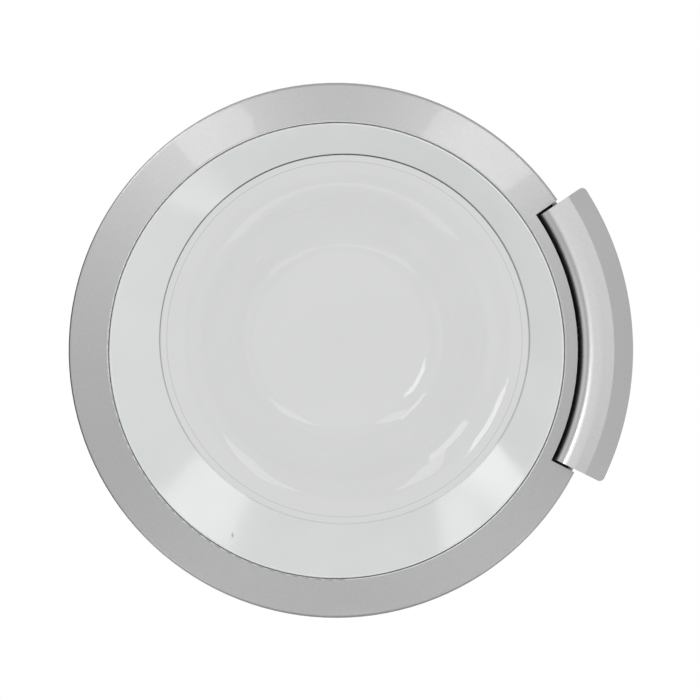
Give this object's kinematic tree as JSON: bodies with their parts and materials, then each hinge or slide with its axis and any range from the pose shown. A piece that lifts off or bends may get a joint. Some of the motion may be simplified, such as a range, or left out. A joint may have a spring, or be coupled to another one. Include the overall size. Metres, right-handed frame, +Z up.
{
  "type": "washing machine door",
  "caption": "Round front-loader washing machine door: silver ring, white funnel bezel, clear glass bowl, sprung pull handle with latch hook, and a side hinge that screws to the front panel.",
  "frame": {"origin": "midway between the hinge bracket's two screw holes, on the bracket's rear face, which lies on the machine's front panel", "axes": "+X from the hinge towards the handle, +Y from the viewer into the machine along the door's axis, +Z up"},
  "size_m": [0.422, 0.0942, 0.4],
  "materials": {
    "silver": "satin silver paint on moulded plastic",
    "white": "glossy moulded plastic",
    "clear_glass": "clear pressed glass",
    "rear_plastic": "fine-grained moulded plastic",
    "dark_plastic": "fine-grained moulded plastic",
    "zinc": "bare die-cast zinc alloy",
    "steel": "zinc-plated steel",
    "bush_plastic": "natural bearing plastic"
  },
  "bodies": {
    "hinge": {"hinge_bracket": "zinc", "hinge_pin": "steel"},
    "door": {"front_ring": "silver", "inner_bezel": "white", "glass_bowl": "clear_glass", "rear_frame": "rear_plastic", "frame_screws": "steel", "latch_housing": "dark_plastic", "latch_screws": "steel", "handle_axle": "steel", "axle_clips": "steel", "handle_spring": "steel", "hinge_leaf": "zinc", "hinge_bush_upper": "bush_plastic", "hinge_bush_lower": "bush_plastic", "leaf_screws": "steel"},
    "handle": {"handle_cover": "silver", "handle_lever": "dark_plastic", "cover_screws": "steel", "hook_spring": "steel"},
    "hook": {"latch_hook": "zinc"}
  },
  "joints": [
    {"name": "door_swing", "type": "hinge", "parent": "hinge", "child": "door", "pos_m": [-0.018, -0.022, 0], "axis": [0, 0, -1], "range_deg": [0, 140]},
    {"name": "handle_pull", "type": "hinge", "parent": "door", "child": "handle", "pos_m": [0.355, -0.039, 0], "axis": [0, 0, -1], "range_deg": [0, 15], "stiffness_Nm_per_rad": 1.2, "springref_deg": -17.19},
    {"name": "hook_turn", "type": "hinge", "parent": "door", "child": "hook", "pos_m": [0.355, -0.039, 0], "axis": [0, 0, -1], "range_deg": [0, 15]}
  ],
  "couplings": [
    {"joint": "hook_turn", "follows": "handle_pull", "ratio": 1}
  ]
}
